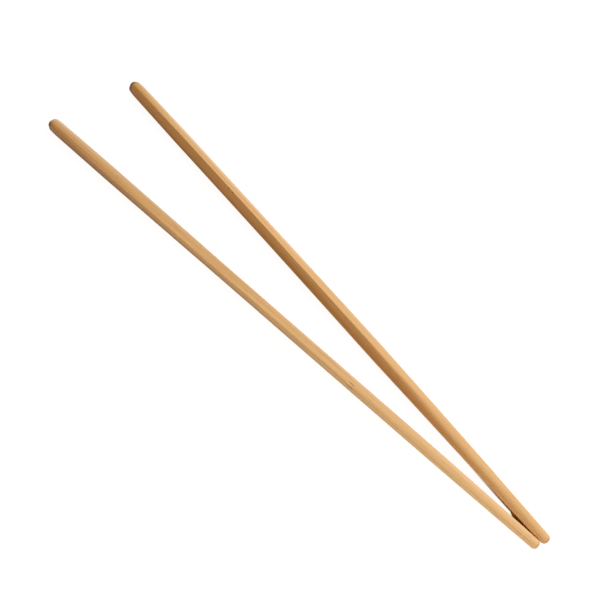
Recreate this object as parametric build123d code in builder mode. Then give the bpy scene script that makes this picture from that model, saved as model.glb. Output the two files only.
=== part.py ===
from build123d import *
from math import atan2, cos, degrees, radians, sin, sqrt
import os

# Pair of wooden chopsticks lying in a narrow V, tips together towards +X.
# Millimetres and degrees. +Z is up and the table is Z = 0.
# The front stick lies on the -Y side, on one of its flats.
# The rear stick lies on the +Y side, rolled outwards about its own axis onto a lower edge.

# Both sticks
stick_length = 240.0
butt_side = 4.9
tip_side = 2.9

# Thickness of each stick's shaft, and how broad its edges have become where its corners end.
# The sticks are finished by hand and not quite alike.
front_shaft_side = 3.8
rear_shaft_side = 4.35
front_shaft_easing = 1.25
rear_shaft_easing = 0.7

# Radius of the eased edges: nearly round at the butt's very end, soft behind it, crisp along the grip
end_easing = 2.1
butt_easing = 1.2
grip_easing = 0.45

# Narrow flat that is left between the edges where the stick is round
round_flat = 0.1

# Lengths from the butt's end: its rounded end, the worn butt, the tapering handle, and all that has corners
end_length = 5.0
butt_length = 40.0
handle_length = 104.0
cornered_length = 165.0

# Length of the tapering tip
tip_length = 36.0

# How much tighter the rounding of an end face is than the eased edges that run into it
round_margin = 0.25

# How the pair lies
spread_angle = 8.4
rear_roll = 34.0
tip_clearance = 0.08
tip_stagger = 0.9

# Share of the length, from the butt end, at which a stick balances
balance_share = 0.45

# Distances from the butt's end
shoulder_at = stick_length - tip_length
balance_at = stick_length * balance_share


def round_easing(side):
    """Edge radius that makes a section of this side as good as round."""
    return (side - round_flat) / 2


def stations(shaft_side, shaft_easing):
    """Distance, side and edge radius of each section of a stick, from the butt to the tip."""
    taper = (shaft_side - butt_side) / handle_length
    return (
        (0.0, butt_side, end_easing),
        (end_length, butt_side + taper * end_length, butt_easing),
        (butt_length, butt_side + taper * butt_length, grip_easing),
        (handle_length, shaft_side, grip_easing),
        (cornered_length, shaft_side, shaft_easing),
        (shoulder_at, shaft_side, round_easing(shaft_side)),
        (stick_length, tip_side, round_easing(tip_side)),
    )


def reach(side, easing, roll):
    """Distance from the axis to the lowest line of a section that is rolled by an angle."""
    return (side / 2 - easing) * (cos(radians(roll)) + sin(radians(roll))) + easing


def resting_axis(sections, roll):
    """Height of a stick's axis at the butt end, and its rise per millimetre, as it rests.

    The stick rests on one section behind its balance point and one ahead of it.
    These are the two that hold the balance point highest.
    """
    ways = []
    for distance, side, easing in sections:
        for next_distance, next_side, next_easing in sections:
            if distance < balance_at <= next_distance:
                height = reach(side, easing, roll)
                rise = (reach(next_side, next_easing, roll) - height) / (next_distance - distance)
                ways.append((height + rise * (balance_at - distance), height - rise * distance, rise))
    return max(ways)[1:]


def tip_height(sections, roll):
    """Height of a stick's axis at the tip end."""
    butt_height, rise = resting_axis(sections, roll)
    return butt_height + rise * stick_length


def butt_plane(sections, roll, tip_x, tip_y, heading):
    """Plane at a stick's butt end, with its normal towards the tip and its X where the top flat faces."""
    pitch = degrees(atan2(resting_axis(sections, roll)[1], 1))
    along = Vector(1, 0, 0).rotate(Axis.Y, -pitch).rotate(Axis.Z, heading)
    top = Vector(0, 0, 1).rotate(Axis.Y, -pitch).rotate(Axis.Z, heading).rotate(Axis((0, 0, 0), along), -roll)
    tip_point = Vector(tip_x, tip_y, tip_height(sections, roll))
    return Plane(origin=tip_point - along * stick_length, x_dir=top, z_dir=along)


front_stations = stations(front_shaft_side, front_shaft_easing)
rear_stations = stations(rear_shaft_side, rear_shaft_easing)

# Rounding of the two ends
butt_round = end_easing - round_margin
tip_round = round_easing(tip_side) - round_margin

# The round tips lie side by side, closest where their end rounding starts
half_spread = spread_angle / 2
tip_rise = tip_height(rear_stations, rear_roll) - tip_height(front_stations, 0)
side_by_side = sqrt((tip_side + tip_clearance) ** 2 - tip_rise**2)
tip_spacing = side_by_side - 2 * tip_round * sin(radians(half_spread))

# The pair is centred on the Z axis, along X by its length and along Y by its two butts,
# which are widest where their end rounding stops
middle_x = stick_length * cos(radians(half_spread)) / 2
widest_easing = end_easing + (butt_easing - end_easing) * butt_round / end_length
middle_y = (reach(butt_side, widest_easing, 0) - reach(butt_side, widest_easing, rear_roll)) / 2

front_plane = butt_plane(
    front_stations, 0, middle_x - tip_stagger / 2, middle_y - tip_spacing / 2, half_spread
)
rear_plane = butt_plane(
    rear_stations, rear_roll, middle_x + tip_stagger / 2, middle_y + tip_spacing / 2, -half_spread
)

# Front chopstick: a square handle that turns round towards the tip, with both ends rounded
with BuildPart() as front_chopstick:
    for distance, side, easing in front_stations:
        with BuildSketch(front_plane.offset(distance)):
            RectangleRounded(side, side, easing)
    loft(ruled=True)
    fillet(front_chopstick.faces().sort_by(Axis.X)[0].edges(), butt_round)
    fillet(front_chopstick.faces().sort_by(Axis.X)[-1].edges(), tip_round)
front_chopstick.part.label = "front_chopstick"

# Rear chopstick: the same form with a thicker shaft
with BuildPart() as rear_chopstick:
    for distance, side, easing in rear_stations:
        with BuildSketch(rear_plane.offset(distance)):
            RectangleRounded(side, side, easing)
    loft(ruled=True)
    fillet(rear_chopstick.faces().sort_by(Axis.X)[0].edges(), butt_round)
    fillet(rear_chopstick.faces().sort_by(Axis.X)[-1].edges(), tip_round)
rear_chopstick.part.label = "rear_chopstick"

os.makedirs("parts", exist_ok=True)
export_step(front_chopstick.part, "parts/front_chopstick.step")
export_step(rear_chopstick.part, "parts/rear_chopstick.step")
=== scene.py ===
"""Looks of a pair of bamboo chopsticks lying in a narrow V, in metres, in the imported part's frame."""

import logging
import math
from collections.abc import Mapping
from dataclasses import dataclass, field
from enum import Enum
from typing import Any

import bpy
import numpy as np
from mathutils import Matrix, Vector


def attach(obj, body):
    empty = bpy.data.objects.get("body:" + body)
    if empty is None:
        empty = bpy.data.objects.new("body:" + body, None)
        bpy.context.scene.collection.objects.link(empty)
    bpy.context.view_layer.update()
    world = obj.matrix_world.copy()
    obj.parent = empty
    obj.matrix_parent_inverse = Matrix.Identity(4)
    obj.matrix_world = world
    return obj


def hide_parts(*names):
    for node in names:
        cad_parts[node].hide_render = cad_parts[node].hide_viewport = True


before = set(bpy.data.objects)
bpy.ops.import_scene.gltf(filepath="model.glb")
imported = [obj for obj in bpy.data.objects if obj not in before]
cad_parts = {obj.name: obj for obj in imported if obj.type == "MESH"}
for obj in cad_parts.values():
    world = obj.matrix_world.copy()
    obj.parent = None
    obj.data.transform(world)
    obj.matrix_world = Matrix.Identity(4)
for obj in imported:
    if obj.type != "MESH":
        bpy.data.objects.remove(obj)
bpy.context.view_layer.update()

LOG = logging.getLogger("chopsticks")
MM = 0.001
CORNERS = 4
QUARTER_TURN = math.pi / 2

Colour = tuple[float, float, float, float]
Limits = tuple[float, float]

WHITE: Colour = (1.0, 1.0, 1.0, 1.0)
# Pale wood for rubbed corners and a paler butt, also the colour of painted light.
WORN_AND_LIT_WOOD: Colour = (0.97, 0.69, 0.38, 1.0)
SPLIT_WOOD: Colour = (1.0, 0.78, 0.48, 1.0)
# Dark wood for grain and marks, also the colour of painted shade.
DARK_GRAIN_AND_SHADE: Colour = (0.36, 0.15, 0.045, 1.0)


class Mapped(Enum):
    """How a share between two limits rises."""

    STRAIGHT = "LINEAR"
    EASED = "SMOOTHSTEP"


class Num:
    """A number that flows through a node tree, so that sums are written as in Python."""

    def __init__(self, graph: "NodeGraph", socket: bpy.types.NodeSocket) -> None:
        """Wrap an output socket.

        Args:
            graph: The graph that the socket belongs to.
            socket: The socket that carries the number.
        """
        self.graph = graph
        self.socket = socket

    def __add__(self, other: "Num | float") -> "Num":
        """Return self + other."""
        return self.graph.math("ADD", self, other)

    def __radd__(self, other: float) -> "Num":
        """Return other + self."""
        return self.graph.math("ADD", other, self)

    def __sub__(self, other: "Num | float") -> "Num":
        """Return self - other."""
        return self.graph.math("SUBTRACT", self, other)

    def __rsub__(self, other: float) -> "Num":
        """Return other - self."""
        return self.graph.math("SUBTRACT", other, self)

    def __mul__(self, other: "Num | float") -> "Num":
        """Return self * other."""
        return self.graph.math("MULTIPLY", self, other)

    def __rmul__(self, other: float) -> "Num":
        """Return other * self."""
        return self.graph.math("MULTIPLY", other, self)

    def __truediv__(self, other: "Num | float") -> "Num":
        """Return self / other."""
        return self.graph.math("DIVIDE", self, other)


class NodeGraph:
    """A shader or geometry node tree that is filled by plain calls."""

    def __init__(self, tree: bpy.types.NodeTree) -> None:
        """Start filling a tree.

        Args:
            tree: The node tree to fill.
        """
        self.tree = tree

    @classmethod
    def of(cls, owner: bpy.types.Material | bpy.types.World) -> "NodeGraph":
        """Empty the nodes of a material or a world, to fill them anew.

        Args:
            owner: The material or the world.

        Returns:
            The graph of its nodes.
        """
        owner.use_nodes = True
        owner.node_tree.nodes.clear()
        return cls(owner.node_tree)

    def node(
        self,
        kind: str,
        settings: Mapping[str, Any] | None = None,
        sockets: Mapping[str | int, Any] | None = None,
    ) -> bpy.types.Node:
        """Add a node, set it up, and fill or link its inputs.

        Args:
            kind: The node's type.
            settings: The node's own properties, which are set first.
            sockets: A value, number or output socket for each input, by name or index.

        Returns:
            The new node.
        """
        made = self.tree.nodes.new(kind)
        for name, value in (settings or {}).items():
            setattr(made, name, value)
        for name, value in (sockets or {}).items():
            if isinstance(value, Num):
                value = value.socket
            if isinstance(value, bpy.types.NodeSocket):
                self.tree.links.new(value, made.inputs[name])
            else:
                made.inputs[name].default_value = value
        return made

    def math(self, operation: str, *values: "Num | float") -> Num:
        """Add a Math node.

        Args:
            operation: The Math node's operation.
            *values: Its inputs, in order.

        Returns:
            The result.
        """
        made = self.node("ShaderNodeMath", {"operation": operation}, dict(enumerate(values)))
        return Num(self, made.outputs[0])

    def share(
        self, value: Num, start: Num | float, end: Num | float, shape: Mapped = Mapped.STRAIGHT
    ) -> Num:
        """Return how far a value has come between two limits, held between 0 and 1.

        Args:
            value: The value.
            start: The limit where the share is 0.
            end: The limit where the share is 1.
            shape: Whether the share rises straight or eases in and out.

        Returns:
            The share.
        """
        made = self.node(
            "ShaderNodeMapRange",
            {"clamp": True, "interpolation_type": shape.value},
            {"Value": value, "From Min": start, "From Max": end, "To Min": 0.0, "To Max": 1.0},
        )
        return Num(self, made.outputs["Result"])

    def vector(self, x: Num | float, y: Num | float, z: Num | float) -> bpy.types.NodeSocket:
        """Return the vector with these three parts."""
        return self.node("ShaderNodeCombineXYZ", None, {"X": x, "Y": y, "Z": z}).outputs[0]

    def parts(self, vector: bpy.types.NodeSocket) -> tuple[Num, Num, Num]:
        """Return the three parts of a vector."""
        split = self.node("ShaderNodeSeparateXYZ", None, {0: vector})
        return Num(self, split.outputs[0]), Num(self, split.outputs[1]), Num(self, split.outputs[2])

    def noise(self, place: bpy.types.NodeSocket, scale: float, detail: float, rough: float) -> Num:
        """Return smooth noise between 0 and 1.

        Args:
            place: Where the noise is read.
            scale: How many features there are for each unit of place.
            detail: How many finer layers are added.
            rough: How strong the finer layers are.

        Returns:
            The noise.
        """
        made = self.node(
            "ShaderNodeTexNoise",
            {"noise_dimensions": "3D"},
            {"Vector": place, "Scale": scale, "Detail": detail, "Roughness": rough},
        )
        return Num(self, made.outputs[0])

    def mix(self, amount: Num | float, first: Any, second: Any) -> bpy.types.NodeSocket:
        """Blend two colours.

        Args:
            amount: The share of the second colour.
            first: The first colour, or a socket that carries it.
            second: The second colour, or a socket that carries it.

        Returns:
            The socket with the blended colour.
        """
        made = self.node("ShaderNodeMix", {"data_type": "RGBA"}, {"Factor": amount, 6: first, 7: second})
        return made.outputs[2]


def add_object(name: str, data: bpy.types.ID) -> bpy.types.Object:
    """Put a new object in the scene.

    Args:
        name: The object's name.
        data: The mesh, lamp or camera that it shows.

    Returns:
        The new object.
    """
    made = bpy.data.objects.new(name, data)
    bpy.context.scene.collection.objects.link(made)
    return made


def turn_towards(thing: bpy.types.Object, direction: Vector) -> None:
    """Turn a lamp or the camera so that it points in a direction."""
    thing.rotation_mode = "QUATERNION"
    thing.rotation_quaternion = direction.to_track_quat("-Z", "Y")


@dataclass(frozen=True)
class Lie:
    """Where a chopstick lies: its butt end, the way it points, its length, and its roll about itself."""

    butt: Vector
    along: Vector
    length: float
    roll: float

    @classmethod
    def of_node(cls, node: str, roll: float, end_depth: float = 0.05 * MM, rounds: int = 6) -> "Lie":
        """Measure a chopstick's axis between the flats of its two ends.

        Args:
            node: The name of the chopstick's node in the frame.
            roll: The turn of its top flat away from straight up, in radians.
            end_depth: How near to an end a point is that counts as part of its flat.
            rounds: How often the axis is worked out anew from the flats.

        Returns:
            The chopstick's lie.
        """
        points = np.array([vertex.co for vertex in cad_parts[node].data.vertices], float)
        ends = points[points[:, 0].argmin()], points[points[:, 0].argmax()]
        for _ in range(rounds):
            along = (ends[1] - ends[0]) / np.linalg.norm(ends[1] - ends[0])
            reach = points @ along
            flats = points[reach < reach.min() + end_depth], points[reach > reach.max() - end_depth]
            ends = tuple((flat.min(axis=0) + flat.max(axis=0)) / 2 for flat in flats)
        butt = ends[0] + along * (reach.min() - ends[0] @ along)
        return cls(Vector(butt), Vector(along), float(np.ptp(reach)), roll)

    def matrix(self) -> Matrix:
        """Work out the move from the chopstick's own axes to the frame.

        Returns:
            The move. Its own X is towards the top flat, and its own Z is along the chopstick.
        """
        level = Vector((0, 0, 1)).cross(self.along).normalized()
        top = Matrix.Rotation(-self.roll, 3, self.along) @ self.along.cross(level)
        turn = Matrix((top, self.along.cross(top), self.along)).transposed()
        return Matrix.Translation(self.butt) @ turn.to_4x4()


@dataclass(frozen=True)
class StickSizes:
    """The sizes that give a chopstick its shape. An easing is the radius of the section's edges."""

    shaft_side: float
    shaft_easing: float
    butt_side: float = 4.9 * MM
    tip_side: float = 2.9 * MM
    end_easing: float = 2.1 * MM
    butt_easing: float = 1.2 * MM
    grip_easing: float = 0.45 * MM
    round_flat: float = 0.1 * MM
    end_length: float = 5.0 * MM
    butt_length: float = 40.0 * MM
    handle_length: float = 104.0 * MM
    cornered_length: float = 165.0 * MM
    tip_length: float = 36.0 * MM
    butt_round: float = 1.85 * MM
    tip_round: float = 1.15 * MM


@dataclass(frozen=True)
class StickMesh:
    """How finely a chopstick's surface is divided, how its grooves run, and what counts as its ridge."""

    around: int = 96
    cap_rows: int = 4
    round_rows: int = 10
    run_rows: int = 560
    weld: float = 0.0005 * MM
    groove_stretch: float = 24.0 * MM
    groove_scale: float = 1.1
    groove_limits: Limits = (0.35, 0.75)
    least_groove: float = 0.4
    ridge_limits: Limits = (0.35, 0.12)

    def rows(self) -> int:
        """Return the number of steps from one pole to the other."""
        return 2 * self.cap_rows + 2 * self.round_rows + self.run_rows


class StickTree:
    """The geometry nodes that draw any chopstick from its sizes."""

    NUMBERS = (
        "Length",
        "Butt side",
        "Shaft side",
        "Tip side",
        "End easing",
        "Butt easing",
        "Grip easing",
        "Shaft easing",
        "Round flat",
        "End length",
        "Butt length",
        "Handle length",
        "Cornered length",
        "Tip length",
        "Butt round",
        "Tip round",
        "Groove depth",
        "Seed",
    )

    def __init__(self, fineness: StickMesh) -> None:
        """Build the tree.

        Args:
            fineness: How finely the surface is divided.
        """
        self.fineness = fineness
        self.tree = bpy.data.node_groups.new("chopstick", "GeometryNodeTree")
        self.identifiers: dict[str, str] = {}
        kinds = dict.fromkeys(self.NUMBERS, "NodeSocketFloat")
        kinds.update({"Bow": "NodeSocketVector", "Wood": "NodeSocketMaterial"})
        for name, kind in kinds.items():
            made = self.tree.interface.new_socket(name, in_out="INPUT", socket_type=kind)
            self.identifiers[name] = made.identifier
        self.tree.interface.new_socket("Chopstick", in_out="OUTPUT", socket_type="NodeSocketGeometry")
        self.graph = NodeGraph(self.tree)
        self.inputs = self.graph.node("NodeGroupInput")
        self._draw()

    def _size(self, name: str) -> Num:
        """Return one of the tree's inputs as a number."""
        return Num(self.graph, self.inputs.outputs[name])

    def _side_and_easing(self, distance: Num) -> tuple[Num, Num]:
        """Give the section's side and edge radius.

        Args:
            distance: The distance from the butt end.

        Returns:
            The side and the edge radius.
        """
        size, graph = self._size, self.graph
        shoulder = size("Length") - size("Tip length")
        handle = graph.share(distance, 0.0, size("Handle length"))
        tip = graph.share(distance, shoulder, size("Length"))
        end = graph.share(distance, 0.0, size("End length"))
        worn = graph.share(distance, size("End length"), size("Butt length"))
        broad = graph.share(distance, size("Handle length"), size("Cornered length"))
        round_off = graph.share(distance, size("Cornered length"), shoulder)
        side = (
            size("Butt side")
            + (size("Shaft side") - size("Butt side")) * handle
            + (size("Tip side") - size("Shaft side")) * tip
        )
        shaft_round = (size("Shaft side") - size("Round flat")) / 2.0
        tip_round = (size("Tip side") - size("Round flat")) / 2.0
        easing = (
            size("End easing")
            + (size("Butt easing") - size("End easing")) * end
            + (size("Grip easing") - size("Butt easing")) * worn
            + (size("Shaft easing") - size("Grip easing")) * broad
            + (shaft_round - size("Shaft easing")) * round_off
            + (tip_round - shaft_round) * tip
        )
        return side, easing

    def _row(self, row: Num) -> tuple[Num, Num, Num]:
        """Place one of the grid's rows along the stick.

        Args:
            row: The row's number, from 0 in the middle of the butt's end face.

        Returns:
            The row's distance from the butt end, how far the end rounding draws it in, and its spread,
            which is 0 in the middle of an end face and 1 from the face's edge on.
        """
        size, graph, fine = self._size, self.graph, self.fineness
        run_start = fine.cap_rows + fine.round_rows
        run_end = run_start + fine.run_rows
        round_end = run_end + fine.round_rows
        butt_turn = graph.share(row, fine.cap_rows, run_start) * QUARTER_TURN
        tip_turn = graph.share(row, run_end, round_end) * QUARTER_TURN
        run_length = size("Length") - size("Butt round") - size("Tip round")
        distance = (
            size("Butt round") * (1.0 - graph.math("COSINE", butt_turn))
            + run_length * graph.share(row, run_start, run_end)
            + size("Tip round") * graph.math("SINE", tip_turn)
        )
        butt_drawn_in = size("Butt round") * (1.0 - graph.math("SINE", butt_turn))
        tip_drawn_in = size("Tip round") * (1.0 - graph.math("COSINE", tip_turn))
        spread = graph.share(row, 0.0, fine.cap_rows) * (1.0 - graph.share(row, round_end, fine.rows()))
        return distance, butt_drawn_in + tip_drawn_in, spread

    def _section(self, around: Num, distance: Num, drawn_in: Num, spread: Num) -> tuple[Num, Num, Num]:
        """Draw a square section with eased edges and shallow grooves, a quarter at a time.

        The grooves follow the fibres and only ever go inwards.

        Args:
            around: How far the point has come round the section, from 0 to 1.
            distance: The section's distance from the butt end.
            drawn_in: How far the end rounding draws the section in.
            spread: How far the section is spread from the axis.

        Returns:
            The point's two places across the stick, and how sharp a corner it lies on.
        """
        size, graph, fine = self._size, self.graph, self.fineness
        side, full_easing = self._side_and_easing(distance)
        easing = full_easing - drawn_in
        corner = side / 2.0 - drawn_in - easing
        quarters = around * CORNERS
        quarter = graph.math("MINIMUM", graph.math("FLOOR", quarters), CORNERS - 1)
        within = quarters - quarter
        turn = graph.share(within, 0.5, 1.0) * QUARTER_TURN
        facing_x, facing_y = graph.math("COSINE", turn), graph.math("SINE", turn)
        x = corner + easing * facing_x
        y = corner * (graph.share(within, 0.0, 0.5) * 2.0 - 1.0) + easing * facing_y

        # The groove's depth is read from noise at the point's own place, drawn out along the fibres
        start = quarter * QUARTER_TURN
        cosine, sine = graph.math("COSINE", start), graph.math("SINE", start)
        outer_x, outer_y = x * cosine - y * sine, x * sine + y * cosine
        place = graph.vector(outer_x / MM, outer_y / MM, distance / fine.groove_stretch + size("Seed"))
        waves = graph.noise(place, fine.groove_scale, detail=3.0, rough=0.6)
        depth = fine.least_groove + (1.0 - fine.least_groove) * graph.share(waves, *fine.groove_limits)
        groove = size("Groove depth") * depth
        x = (x - groove * facing_x) * spread
        y = (y - groove * facing_y) * spread
        ridge = facing_x * facing_y * 2.0 * graph.share(easing / side, *fine.ridge_limits)
        return x * cosine - y * sine, x * sine + y * cosine, ridge

    def _bowed(self, x: Num, y: Num, distance: Num) -> bpy.types.NodeSocket:
        """Give a point a slight bow, which is strongest halfway along the stick.

        Args:
            x: The point's place across the stick.
            y: Its other place across the stick.
            distance: Its distance from the butt end.

        Returns:
            The point's place.
        """
        run = distance / self._size("Length")
        bow = self.graph.node(
            "ShaderNodeVectorMath",
            {"operation": "SCALE"},
            {0: self.inputs.outputs["Bow"], "Scale": run * (1.0 - run) * 4.0},
        )
        placed = self.graph.node(
            "ShaderNodeVectorMath",
            {"operation": "ADD"},
            {0: self.graph.vector(x, y, distance), 1: bow.outputs[0]},
        )
        return placed.outputs[0]

    def _draw(self) -> None:
        """Fill the tree: a grid is wrapped round the axis, rounded at both ends and closed."""
        graph, fine = self.graph, self.fineness
        grid = graph.node(
            "GeometryNodeMeshGrid",
            None,
            {"Size X": 1.0, "Size Y": 1.0, "Vertices X": fine.rows() + 1, "Vertices Y": fine.around + 1},
        )
        across, around, _ = graph.parts(graph.node("GeometryNodeInputPosition").outputs[0])
        distance, drawn_in, spread = self._row((across + 0.5) * fine.rows())
        x, y, ridge = self._section(around + 0.5, distance, drawn_in, spread)
        marked = graph.node(
            "GeometryNodeStoreNamedAttribute",
            {"data_type": "FLOAT", "domain": "POINT"},
            {"Geometry": grid.outputs["Mesh"], "Name": "ridge", "Value": ridge},
        )
        moved = graph.node(
            "GeometryNodeSetPosition",
            None,
            {"Geometry": marked.outputs[0], "Position": self._bowed(x, y, distance)},
        )
        closed = graph.node(
            "GeometryNodeMergeByDistance", None, {"Geometry": moved.outputs[0], "Distance": fine.weld}
        )
        outward = graph.node("GeometryNodeFlipFaces", None, {0: closed.outputs[0]})
        smooth = graph.node("GeometryNodeSetShadeSmooth", None, {0: outward.outputs[0]})
        real = graph.node("GeometryNodeRealizeInstances", None, {0: smooth.outputs[0]})
        dressed = graph.node(
            "GeometryNodeSetMaterial",
            None,
            {"Geometry": real.outputs[0], "Material": self.inputs.outputs["Wood"]},
        )
        graph.node("NodeGroupOutput", None, {0: dressed.outputs[0]})

    def grow(self, name: str, values: Mapping[str, Any]) -> bpy.types.Object:
        """Run the tree once and keep the result as a plain mesh.

        Args:
            name: The new piece's name.
            values: A value for each of the tree's inputs, by name.

        Returns:
            The new piece, with no modifier.
        """
        piece = add_object(name, bpy.data.meshes.new(name))
        modifier = piece.modifiers.new("shape", "NODES")
        modifier.node_group = self.tree
        for wanted, value in values.items():
            modifier[self.identifiers[wanted]] = value
        evaluated = piece.evaluated_get(bpy.context.evaluated_depsgraph_get())
        mesh = bpy.data.meshes.new_from_object(evaluated)
        piece.modifiers.remove(modifier)
        piece.data = mesh
        return piece


@dataclass(frozen=True)
class OwnPlace:
    """A place in a chopstick's own millimetres.

    It is given towards the top flat, towards the near side, and along the chopstick from its butt end.
    """

    up: Num
    out: Num
    along: Num


@dataclass(frozen=True)
class Grain:
    """One pattern of the grain: noise drawn out along the fibres, and how strongly it shows."""

    stretch: float
    scale: float
    detail: float
    limits: Limits
    strength: float = 1.0
    rough: float = 0.5

    def noise(self, graph: NodeGraph, place: OwnPlace, shift: float) -> Num:
        """Return the pattern's noise, shifted along the fibres."""
        drawn_out = graph.vector(place.up, place.out, place.along / self.stretch + shift)
        return graph.noise(drawn_out, self.scale, self.detail, self.rough)

    def amount(self, graph: NodeGraph, noise: Num) -> Num:
        """Return how strongly the pattern shows where its noise has this value."""
        return graph.share(noise, *self.limits) * self.strength


@dataclass(frozen=True)
class Mark:
    """A short pale or dark mark in the wood, drawn out along the fibres.

    It lies at a distance from the butt end, and turned from the top flat towards the near side.
    """

    along: float
    turn: float
    half_length: float
    half_width: float
    strength: float
    colour: Colour


@dataclass(frozen=True)
class BambooFinish:
    """Steamed bamboo, cut along the fibres, sanded and left bare.

    Lengths are in the chopstick's own millimetres, apart from the fibre height, which is in metres. Two
    limits say where a change in colour starts and where it is full. Some of these changes are painted
    light and painted shade.
    """

    name: str
    seed: float
    # How much painted light pales the wood towards the tip.
    tip_paling: float
    # How much painted light pales the near side towards the tip.
    near_paling: float
    # How much painted shade darkens the near side near the butt.
    near_toast: float
    # How dark a line runs along the lower edge near the butt.
    line_toast: float
    marks: tuple[Mark, ...]
    butt_paling: float = 0.0
    # How much warm painted shade darkens the near lower side.
    near_amber: float = 0.0
    # How much a painted sheen pales the far side.
    far_paling: float = 0.28
    # How much a painted sheen pales the far upper corner near the butt.
    corner_paling: float = 0.6
    ridge_paling: float = 0.75
    # How much painted shade darkens the lower side.
    low_toast: float = 0.45
    # The most that painted shade and the dark lower line darken the wood.
    most_toast: float = 0.95
    # Pale wood for rubbed corners and a paler butt, also the colour of painted light.
    light: Colour = WORN_AND_LIT_WOOD
    pale: Colour = (0.78, 0.49, 0.21, 1.0)
    tan: Colour = (0.68, 0.395, 0.145, 1.0)
    rosy: Colour = (0.78, 0.42, 0.185, 1.0)
    # The colour of a painted sheen.
    silver: Colour = (0.92, 0.75, 0.56, 1.0)
    # Dark grain, also the colour of painted shade.
    toast: Colour = DARK_GRAIN_AND_SHADE
    # The colour of warm painted shade.
    amber: Colour = (0.5, 0.2, 0.035, 1.0)
    end_grain: Colour = (0.5, 0.3, 0.13, 1.0)
    pore: Colour = (0.2, 0.1, 0.045, 1.0)
    # The colour of painted shade on the butt end's near side.
    stain: Colour = (0.22, 0.16, 0.09, 1.0)
    broad: Grain = Grain(stretch=45.0, scale=0.55, detail=2.0, limits=(0.3, 0.7))
    patch: Grain = Grain(stretch=6.0, scale=0.5, detail=2.0, limits=(0.42, 0.62), strength=0.55)
    streak: Grain = Grain(
        stretch=60.0, scale=2.4, detail=3.0, limits=(0.52, 0.78), strength=0.45, rough=0.6
    )
    fibre: Grain = Grain(
        stretch=90.0, scale=8.0, detail=3.0, limits=(0.55, 0.8), strength=0.4, rough=0.65
    )
    dash: Grain = Grain(stretch=16.0, scale=7.0, detail=1.0, limits=(0.66, 0.76), strength=0.45)
    near_side: Limits = (0.1, 1.4)
    far_side: Limits = (0.3, -1.7)
    low_side: Limits = (1.0, -1.6)
    low_line: Limits = (-1.0, -1.7)
    # Where the warm painted shade lies round the chopstick.
    amber_side: Limits = (0.6, 2.6)
    # Where the painted sheen lies round the far upper corner.
    far_corner: Limits = (4.0, 5.4)
    corner_slant: float = 1.6
    # Where the painted light towards the tip starts and where it is full.
    tip_pale_run: Limits = (10.0, 235.0)
    butt_pale_run: Limits = (55.0, 15.0)
    # Where the painted light on the near side starts and where it is full.
    near_pale_run: Limits = (30.0, 150.0)
    # Where the painted shade on the near side starts and where it is full.
    near_toast_run: Limits = (70.0, 15.0)
    # Where the painted shade on the lower side starts and where it is full.
    low_toast_run: Limits = (215.0, 120.0)
    # Where the dark line along the lower edge starts and where it is full.
    line_toast_run: Limits = (150.0, 70.0)
    # Where the warm painted shade starts along the chopstick, and where it ends.
    amber_rise: Limits = (80.0, 125.0)
    amber_fall: Limits = (218.0, 180.0)
    corner_run: Limits = (150.0, 60.0)
    mark_facing: Limits = (0.3, 0.8)
    mark_edge: Limits = (1.0, 0.5)
    fray: float = 1.6
    butt_end_run: Limits = (1.3, 0.2)
    tip_end_depth: float = 0.5
    tip_end_strength: float = 0.5
    pore_scale: float = 2.0
    pore_limits: Limits = (0.36, 0.2)
    pore_strength: float = 0.75
    # Where painted shade darkens the butt end's near side, and how much.
    stain_side: Limits = (0.2, 1.7)
    stain_run: Limits = (3.3, 2.0)
    stain_strength: float = 0.9
    roughness: float = 0.46
    fibre_roughness: float = 0.14
    end_roughness: float = 0.2
    ridge_polish: float = 0.08
    gloss: float = 0.15
    fibre_height: float = 0.02 * MM
    fibre_share: float = 0.6
    bump_strength: float = 0.6

    def build(self, lie: Lie) -> bpy.types.Material:
        """Make the material, with its grain running along one chopstick.

        Args:
            lie: Where the chopstick lies.

        Returns:
            The material.
        """
        material = bpy.data.materials.new(self.name)
        graph = NodeGraph.of(material)
        place = self._own_place(graph, lie)
        broad = self.broad.noise(graph, place, self.seed)
        patch = self.patch.noise(graph, place, self.seed)
        streak = self.streak.noise(graph, place, self.seed)
        fibre = self.fibre.noise(graph, place, self.seed)
        dash = self.dash.noise(graph, place, -self.seed)
        ridge = Num(graph, graph.node("ShaderNodeAttribute", {"attribute_name": "ridge"}).outputs["Fac"])

        colour = graph.mix(self.broad.amount(graph, broad), self.tan, self.pale)
        colour = graph.mix(self.patch.amount(graph, patch), colour, self.rosy)
        # Painted light and shade along and round the chopstick, and a paler butt.
        colour = self._add_wear(graph, colour, place)
        for grain, noise in ((self.streak, streak), (self.fibre, fibre), (self.dash, dash)):
            colour = graph.mix(grain.amount(graph, noise), colour, self.toast)
        colour = self._pale_edges(graph, colour, place, ridge)
        for mark in self.marks:
            colour = self._add_mark(graph, colour, mark, place)
        colour, end = self._add_end_grain(graph, colour, place, fibre, lie.length / MM)

        rough = self.roughness + fibre * self.fibre_roughness
        rough = rough + end * self.end_roughness - ridge * self.ridge_polish
        height = fibre * self.fibre_share + streak * (1.0 - self.fibre_share)
        bump = graph.node(
            "ShaderNodeBump",
            None,
            {"Strength": self.bump_strength, "Distance": self.fibre_height, "Height": height},
        )
        wood = graph.node(
            "ShaderNodeBsdfPrincipled",
            None,
            {
                "Base Color": colour,
                "Roughness": rough,
                "Specular IOR Level": self.gloss,
                "Normal": bump.outputs[0],
            },
        )
        graph.node("ShaderNodeOutputMaterial", None, {"Surface": wood.outputs[0]})
        return material

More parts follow.
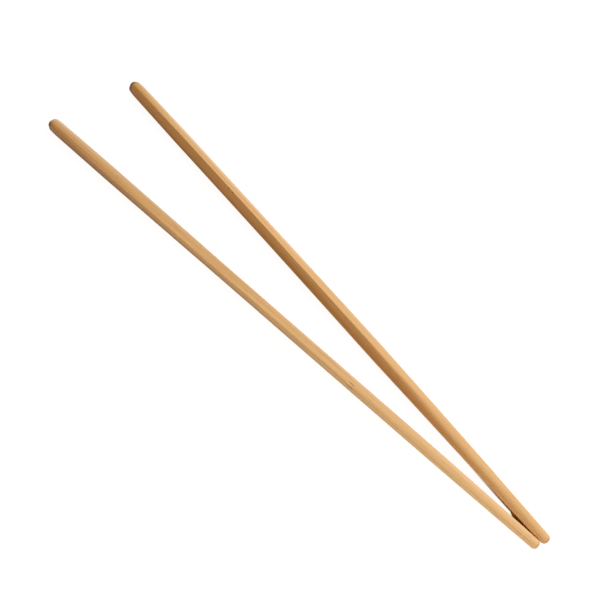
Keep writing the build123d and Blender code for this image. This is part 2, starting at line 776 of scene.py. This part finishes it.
    def _own_place(self, graph: NodeGraph, lie: Lie) -> OwnPlace:
        """Turn object coordinates into the chopstick's own, in millimetres.

        Args:
            graph: The material's graph.
            lie: Where the chopstick lies.

        Returns:
            The place in the chopstick's own axes.
        """
        place = lie.matrix()
        own = graph.node(
            "ShaderNodeMapping",
            {"vector_type": "TEXTURE"},
            {
                "Vector": graph.node("ShaderNodeTexCoord").outputs["Object"],
                "Location": place.translation,
                "Rotation": place.to_euler(),
                "Scale": (MM, MM, MM),
            },
        )
        return OwnPlace(*graph.parts(own.outputs[0]))

    def _add_wear(
        self, graph: NodeGraph, colour: bpy.types.NodeSocket, place: OwnPlace
    ) -> bpy.types.NodeSocket:
        """Change the wood's colour along and round the chopstick.

        It is paler towards the tip and on the near side, which is painted light, and paler near the butt.
        A painted sheen pales the far side. Painted shade turns the near lower side warm brown, darkens the
        near side near the butt and the lower side, and a dark line runs along the lower edge near the
        butt.

        Args:
            graph: The material's graph.
            colour: The colour so far.
            place: The place in the chopstick's own axes.

        Returns:
            The changed colour.
        """
        near = graph.share(place.out, *self.near_side, Mapped.EASED)
        low_side = graph.share(place.up, *self.low_side)
        low_line = graph.share(place.up, *self.low_line)
        # Painted light: paler towards the tip.
        tip_light = graph.share(place.along, *self.tip_pale_run) * self.tip_paling
        # Painted light: paler on the near side towards the tip.
        near_light = graph.share(place.along, *self.near_pale_run) * near * self.near_paling
        butt_pale = graph.share(place.along, *self.butt_pale_run) * self.butt_paling
        # Painted shade: darker on the near side near the butt.
        near_toast = graph.share(place.along, *self.near_toast_run) * near * self.near_toast
        # Painted shade: darker along the lower side, except near the tip.
        low_toast = low_side * graph.share(place.along, *self.low_toast_run) * self.low_toast
        # A dark line along the lower edge near the butt.
        line_toast = low_line * graph.share(place.along, *self.line_toast_run) * self.line_toast
        # Painted shade and the dark lower line together.
        painted_shade_and_dark_line = graph.math("MINIMUM", near_toast + low_toast + line_toast, self.most_toast)
        # Painted shade: the near lower side turns warm brown between the middle and the tip.
        warm_shade_run = graph.share(place.along, *self.amber_rise) * graph.share(place.along, *self.amber_fall)
        amber = warm_shade_run * graph.share(place.out - place.up, *self.amber_side)
        # Painted light towards the tip and on the near side, and a paler butt.
        colour = graph.mix(tip_light + near_light + butt_pale, colour, self.light)
        colour = graph.mix(amber * self.near_amber, colour, self.amber)
        # A painted sheen pales the far side.
        colour = graph.mix(graph.share(place.out, *self.far_side) * self.far_paling, colour, self.silver)
        return graph.mix(painted_shade_and_dark_line, colour, self.toast)

    def _pale_edges(
        self, graph: NodeGraph, colour: bpy.types.NodeSocket, place: OwnPlace, ridge: Num
    ) -> bpy.types.NodeSocket:
        """Pale the rubbed corners, and paint a sheen on the far upper corner near the butt.

        Args:
            graph: The material's graph.
            colour: The colour so far.
            place: The place in the chopstick's own axes.
            ridge: How sharp a corner the surface is on, from 0 on the flats and where the stick is round.

        Returns:
            The colour with its pale corners.
        """
        colour = graph.mix(ridge * ridge * self.ridge_paling, colour, self.light)
        # A painted sheen pales the far upper corner near the butt.
        slanted = place.up * self.corner_slant - place.out
        far_corner = graph.share(slanted, *self.far_corner) * graph.share(place.along, *self.corner_run)
        return graph.mix(far_corner * self.corner_paling, colour, self.silver)

    def _add_mark(
        self, graph: NodeGraph, colour: bpy.types.NodeSocket, mark: Mark, place: OwnPlace
    ) -> bpy.types.NodeSocket:
        """Add one short mark to the wood.

        Args:
            graph: The material's graph.
            colour: The colour so far.
            mark: The mark.
            place: The place in the chopstick's own axes.

        Returns:
            The colour with the mark.
        """
        cosine, sine = math.cos(mark.turn), math.sin(mark.turn)
        lengthwise = (place.along - mark.along / MM) / (mark.half_length / MM)
        sidewise = (place.out * cosine - place.up * sine) / (mark.half_width / MM)
        spread = graph.math("SQRT", lengthwise * lengthwise + sidewise * sidewise)
        facing = graph.share(place.up * cosine + place.out * sine, *self.mark_facing)
        inside = graph.share(spread, *self.mark_edge, Mapped.EASED) * facing
        return graph.mix(inside * mark.strength, colour, mark.colour)

    def _add_end_grain(
        self,
        graph: NodeGraph,
        colour: bpy.types.NodeSocket,
        place: OwnPlace,
        fibre: Num,
        length: float,
    ) -> tuple[bpy.types.NodeSocket, Num]:
        """Darken the two cut ends, dot them with the bamboo's pores, and paint shade on the butt's near
        side.

        Args:
            graph: The material's graph.
            colour: The colour so far.
            place: The place in the chopstick's own axes.
            fibre: The noise of the fibres, which frays the edge of the end grain.
            length: The chopstick's length, in millimetres.

        Returns:
            The colour with its end grain, and how much of the surface is end grain.
        """
        frayed = place.along + (fibre - 0.5) * self.fray
        butt_end = graph.share(frayed, *self.butt_end_run, Mapped.EASED)
        tip_end = graph.share(frayed, length - self.tip_end_depth, length, Mapped.EASED)
        end = graph.math("MAXIMUM", butt_end, tip_end * self.tip_end_strength)
        pores = graph.node(
            "ShaderNodeTexVoronoi",
            {"feature": "F1"},
            {"Vector": graph.vector(place.up, place.out, 0.0), "Scale": self.pore_scale},
        )
        dots = graph.share(Num(graph, pores.outputs["Distance"]), *self.pore_limits, Mapped.EASED)
        dotted = graph.mix(dots * self.pore_strength, self.end_grain, self.pore)
        colour = graph.mix(end, colour, dotted)
        # Painted shade: the butt end darkens further on its near side.
        end_shaded = graph.share(place.out, *self.stain_side)
        end_shaded = end_shaded * graph.share(frayed, *self.stain_run, Mapped.EASED)
        return graph.mix(end_shaded * self.stain_strength, colour, self.stain), end


@dataclass
class Chopstick:
    """One chopstick, which stands for its node in the frame."""

    node: str
    sizes: StickSizes
    finish: BambooFinish
    roll: float = 0.0
    bow: float = 0.0
    groove_depth: float = 0.025 * MM
    lie: Lie = field(init=False)
    piece: bpy.types.Object = field(init=False)

    def __post_init__(self) -> None:
        """Find where the chopstick lies."""
        self.lie = Lie.of_node(self.node, self.roll)

    def build(self, tree: StickTree) -> None:
        """Grow the chopstick's mesh and lay it where its node lies.

        Args:
            tree: The geometry nodes that draw a chopstick.
        """
        place = self.lie.matrix()
        own_bow = place.to_3x3().inverted() @ Vector((0.0, self.bow, 0.0))
        values = {name.replace("_", " ").capitalize(): value for name, value in vars(self.sizes).items()}
        values.update(
            {
                "Length": self.lie.length,
                "Groove depth": self.groove_depth,
                "Seed": self.finish.seed,
                "Bow": tuple(own_bow),
                "Wood": self.finish.build(self.lie),
            }
        )
        self.piece = tree.grow(f"{self.node}_bamboo", values)
        self.piece.data.transform(place)

    def dress(self) -> None:
        """Let the piece stand for its node, on the pair's one body."""
        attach(self.piece, "root")
        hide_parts(self.node)


@dataclass(frozen=True)
class Lamp:
    """One square soft lamp."""

    name: str
    place: tuple[float, float, float]
    aim: tuple[float, float, float]
    size: float
    power: float
    colour: tuple[float, float, float]

    def hang(self) -> None:
        """Hang the lamp and turn it to what it lights."""
        data = bpy.data.lights.new(self.name, "AREA")
        data.shape = "SQUARE"
        data.size = self.size
        data.energy = self.power
        data.color = self.colour
        hung = add_object(self.name, data)
        hung.location = self.place
        turn_towards(hung, Vector(self.aim) - Vector(self.place))


@dataclass
class Studio:
    """A plain pale table in warm even light, with a soft lamp beyond the pair and a weak one near it.

    Where the floor is seen, it is lifted to white, apart from a share that is lit as any surface is and so
    keeps the pair's shadow.
    """

    front: Lie
    rear: Lie
    floor_half: float = 3.0
    floor_drop: float = 0.05 * MM
    floor_colour: Colour = (0.84, 0.84, 0.84, 1.0)
    floor_lift: float = 1.2
    floor_share: float = 0.22
    gap_colour: Colour = (0.3, 0.17, 0.05, 1.0)
    fringe_colour: Colour = (0.55, 0.33, 0.1, 1.0)
    shade_start: float = 84.0 * MM
    shade_full: float = 104.0 * MM
    shade_end: float = 119.0 * MM
    shade_fade: float = 1.5 * MM
    shade_reach: float = 0.95 * MM
    shade_margin: float = 0.1 * MM
    shade_blur: float = 0.3 * MM
    gap_reach: float = 1.8 * MM
    gap_start: float = 107.4 * MM
    gap_full: float = 109.4 * MM
    sky: Colour = (1.0, 0.73, 0.44, 1.0)
    sky_level: float = 0.4
    key: Lamp = Lamp(
        "key", place=(0.16, 0.42, 0.5), aim=(0.02, 0.0, 0.0), size=0.3, power=2.9, colour=(0.95, 0.98, 1.0)
    )
    card: Lamp = Lamp(
        "card", place=(0.15, -0.09, 0.07), aim=(0.11, -0.005, 0.0), size=0.06, power=0.03, colour=WHITE[:3]
    )

    def build(self) -> None:
        """Lay the floor, light the sky and hang the lamps."""
        self._lay_floor()
        self._light_sky()
        self.key.hang()
        self.card.hang()

    def _seen(self, graph: NodeGraph) -> Num:
        """Tell what is looked at from what only gives light.

        Args:
            graph: The floor's or the sky's graph.

        Returns:
            1 where the camera looks directly, in a reflection or through glass, and 0 for other light.
        """
        path = graph.node("ShaderNodeLightPath").outputs
        seen = Num(graph, path["Is Camera Ray"]) + Num(graph, path["Is Glossy Ray"])
        return graph.math("MINIMUM", seen + Num(graph, path["Is Transmission Ray"]), 1.0)

    def _shade(self, graph: NodeGraph) -> tuple[Num, bpy.types.NodeSocket]:
        """Find the floor beside and under the rear tip, which hardly any light reaches.

        Args:
            graph: The floor material's graph.

        Returns:
            How much of the floor's light is kept out, from 0 in the open to 1 in the shade, and the
            shade's colour, brown along the rear tip and dark in the narrow gap between the tips.
        """
        across, away, _ = graph.parts(graph.node("ShaderNodeTexCoord").outputs["Object"])
        front_slope = self.front.along.y / self.front.along.x
        rear_slope = self.rear.along.y / self.rear.along.x
        behind = away - (across - self.front.butt.x) * front_slope - self.front.butt.y
        before = (across - self.rear.butt.x) * rear_slope + self.rear.butt.y - away
        deep = graph.share(across, self.gap_start, self.gap_full)
        reach = self.shade_reach + deep * (self.gap_reach - self.shade_reach)
        shade = (
            graph.share(across, self.shade_start, self.shade_full, Mapped.EASED)
            * graph.share(across, self.shade_end, self.shade_end - self.shade_fade)
            * graph.share(behind, 0.0, self.shade_blur)
            * graph.share(before, self.shade_margin, self.shade_blur)
            * graph.share(before, reach + self.shade_blur, reach)
        )
        return shade, graph.mix(deep, self.fringe_colour, self.gap_colour)

    def _lay_floor(self) -> None:
        """Lay a wide white floor that keeps the pair's shadow and the dark gap between the tips."""
        half, down = self.floor_half, -self.floor_drop
        mesh = bpy.data.meshes.new("floor")
        corners = [(-half, -half, down), (half, -half, down), (half, half, down), (-half, half, down)]
        mesh.from_pydata(corners, [], [(0, 1, 2, 3)])
        material = bpy.data.materials.new("floor_white")
        graph = NodeGraph.of(material)
        shade, shade_colour = self._shade(graph)
        open_floor = graph.node("ShaderNodeBsdfDiffuse", None, {"Color": self.floor_colour})
        shaded = graph.node("ShaderNodeBsdfDiffuse", None, {"Color": shade_colour})
        matt = graph.node(
            "ShaderNodeMixShader", None, {0: shade, 1: open_floor.outputs[0], 2: shaded.outputs[0]}
        )
        lift = graph.node("ShaderNodeEmission", None, {"Strength": self.floor_lift})
        lifted = self._seen(graph) * (1.0 - self.floor_share) * (1.0 - shade)
        both = graph.node("ShaderNodeMixShader", None, {0: lifted, 1: matt.outputs[0], 2: lift.outputs[0]})
        graph.node("ShaderNodeOutputMaterial", None, {"Surface": both.outputs[0]})
        mesh.materials.append(material)
        add_object("floor", mesh)

    def _light_sky(self) -> None:
        """Light the scene evenly from all round, and show white where the sky is seen."""
        world = bpy.data.worlds.new("sky")
        graph = NodeGraph.of(world)
        seen = self._seen(graph)
        glow = graph.node(
            "ShaderNodeBackground",
            None,
            {
                "Color": graph.mix(seen, self.sky, WHITE),
                "Strength": self.sky_level + seen * (1.0 - self.sky_level),
            },
        )
        graph.node("ShaderNodeOutputWorld", None, {"Surface": glow.outputs[0]})
        bpy.context.scene.world = world


@dataclass
class PhotoCamera:
    """The camera, where the photograph was taken from."""

    azimuth: float = math.radians(50.75)
    elevation: float = math.radians(52.56)
    distance: float = 271.8 * MM
    target: tuple[float, float, float] = (11.54 * MM, 2.7 * MM, 0.0)
    lens: float = 48.0
    sensor: float = 36.0
    nearest: float = 10.0 * MM

    def build(self) -> None:
        """Place the camera and make it the scene's own."""
        data = bpy.data.cameras.new("camera")
        data.lens = self.lens
        data.sensor_width = self.sensor
        data.clip_start = self.nearest
        level = math.cos(self.elevation)
        back = Vector(
            (math.sin(self.azimuth) * level, -math.cos(self.azimuth) * level, math.sin(self.elevation))
        )
        camera = add_object("camera", data)
        camera.location = Vector(self.target) + back * self.distance
        turn_towards(camera, -back)
        bpy.context.scene.camera = camera


def main() -> None:
    """Build both chopsticks, the studio and the camera."""
    logging.basicConfig(level=logging.INFO, format="%(name)s: %(message)s")
    tree = StickTree(StickMesh())
    front = Chopstick(
        "front_chopstick",
        StickSizes(shaft_side=3.8 * MM, shaft_easing=1.25 * MM),
        BambooFinish(
            "front_bamboo",
            seed=3.7,
            # Painted light on the tip and the near side, painted shade on the near side, a dark lower
            # line, a paler butt, and a painted sheen on the far side.
            tip_paling=0.55,
            near_paling=0.45,
            near_toast=0.5,
            line_toast=0.8,
            butt_paling=0.13,
            far_paling=0.35,
            marks=(
                Mark(169.6 * MM, math.radians(24.0), 1.7 * MM, 0.15 * MM, 0.85, DARK_GRAIN_AND_SHADE),
                Mark(168.8 * MM, math.radians(38.0), 1.8 * MM, 0.3 * MM, 1.0, SPLIT_WOOD),
                Mark(169.8 * MM, math.radians(57.0), 1.8 * MM, 0.2 * MM, 0.7, DARK_GRAIN_AND_SHADE),
            ),
        ),
    )
    rear = Chopstick(
        "rear_chopstick",
        StickSizes(shaft_side=4.35 * MM, shaft_easing=0.7 * MM),
        BambooFinish(
            "rear_bamboo",
            seed=11.3,
            # Painted light on the tip and none on the near side, a little painted shade on the near side,
            # a dark lower line, and warm painted shade.
            tip_paling=0.35,
            near_paling=0.0,
            near_toast=0.1,
            line_toast=0.3,
            near_amber=0.42,
            marks=(
                Mark(60.3 * MM, math.radians(53.0), 0.4 * MM, 0.3 * MM, 0.6, DARK_GRAIN_AND_SHADE),
                Mark(77.2 * MM, math.radians(48.0), 0.45 * MM, 0.3 * MM, 0.9, DARK_GRAIN_AND_SHADE),
                Mark(80.2 * MM, math.radians(47.0), 0.45 * MM, 0.3 * MM, 0.9, DARK_GRAIN_AND_SHADE),
            ),
        ),
        roll=math.radians(34.0),
        bow=0.35 * MM,
    )
    for stick in (front, rear):
        stick.build(tree)
        stick.dress()
        LOG.info("%s: %d faces", stick.piece.name, len(stick.piece.data.polygons))
    Studio(front.lie, rear.lie).build()
    PhotoCamera().build()
    bpy.context.scene.view_settings.view_transform = "Standard"


if __name__ == "__main__":
    main()
